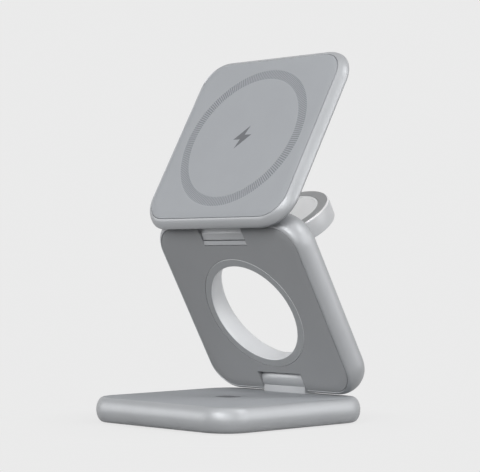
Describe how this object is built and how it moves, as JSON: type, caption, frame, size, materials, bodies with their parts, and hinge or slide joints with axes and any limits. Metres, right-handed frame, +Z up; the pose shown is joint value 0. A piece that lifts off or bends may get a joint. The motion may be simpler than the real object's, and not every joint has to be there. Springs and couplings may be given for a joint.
{
  "type": "three in one wireless charger",
  "caption": "Foldable charging stand: flat base, forward-leaning panel with a round opening, tilted phone panel with a ring, and a swing-out watch puck on friction hinges.",
  "frame": {"origin": "on the table under the middle of the base", "axes": "+Z up, +X to the user's right along the hinge axes, +Y to the back; the phone face looks to -Y"},
  "size_m": [0.0706, 0.0789, 0.1268],
  "materials": {
    "anodised_body": "fine satin anodised grey",
    "plate_light": "soft matte grey",
    "plate_dark": "soft matte dark grey",
    "ring_band": "matte grey with fine radial lines",
    "well_lining": "satin grey",
    "hinge_metal": "satin grey",
    "steel": "plain machined steel",
    "pad_rubber": "matte dark rubber",
    "disc_white": "satin white",
    "circuit": "green solder mask",
    "chip_black": "black moulded",
    "copper": "enamelled copper winding",
    "ferrite": "dark sintered",
    "flex_film": "amber film",
    "cover_grey": "soft matte grey"
  },
  "bodies": {
    "base": {"base_shell": "anodised_body", "base_top_plate": "plate_light", "base_foot_pad": "pad_rubber", "base_ballast": "steel", "base_circuit_board": "circuit", "base_board_parts": "chip_black", "base_board_screws": "steel", "usb_c_socket": "steel", "usb_c_tongue": "chip_black", "earbud_coil": "copper", "earbud_ferrite": "ferrite", "lower_hinge_leaf": "hinge_metal", "lower_hinge_screws": "steel"},
    "middle": {"middle_frame": "anodised_body", "middle_front_plate": "plate_dark", "middle_back_plate": "plate_dark", "puck_well": "well_lining", "puck_hinge_pin": "steel", "middle_circuit_board": "circuit", "hinge_flex": "flex_film", "lower_hinge_pins": "steel", "upper_hinge_pins": "steel", "lower_friction_washers": "steel", "upper_friction_washers": "steel"},
    "top": {"top_frame": "anodised_body", "top_face_plate": "plate_light", "charging_ring_inlay": "ring_band", "ring_magnets": "steel", "phone_coil": "copper", "phone_ferrite": "ferrite", "top_circuit_board": "circuit", "upper_hinge_leaf": "hinge_metal", "upper_hinge_screws": "steel"},
    "puck": {"puck_housing": "anodised_body", "puck_disc": "disc_white", "puck_coil": "copper", "puck_magnet": "steel", "puck_ferrite": "ferrite", "puck_board": "circuit", "puck_back_cover": "cover_grey"}
  },
  "joints": [
    {"name": "lower_hinge", "type": "hinge", "parent": "base", "child": "middle", "pos_m": [0, 0.03055, 0.0141], "axis": [1, 0, 0], "range_deg": [0, 60]},
    {"name": "upper_hinge", "type": "hinge", "parent": "middle", "child": "top", "pos_m": [0, 0.00035, 0.06641], "axis": [1, 0, 0], "range_deg": [-120, 0]},
    {"name": "puck_hinge", "type": "hinge", "parent": "middle", "child": "puck", "pos_m": [0, 0.00768, 0.05851], "axis": [1, 0, 0], "range_deg": [-90, 0]}
  ],
  "couplings": [
    {"joint": "upper_hinge", "follows": "lower_hinge", "ratio": -2},
    {"joint": "puck_hinge", "follows": "lower_hinge", "ratio": -1.5}
  ]
}
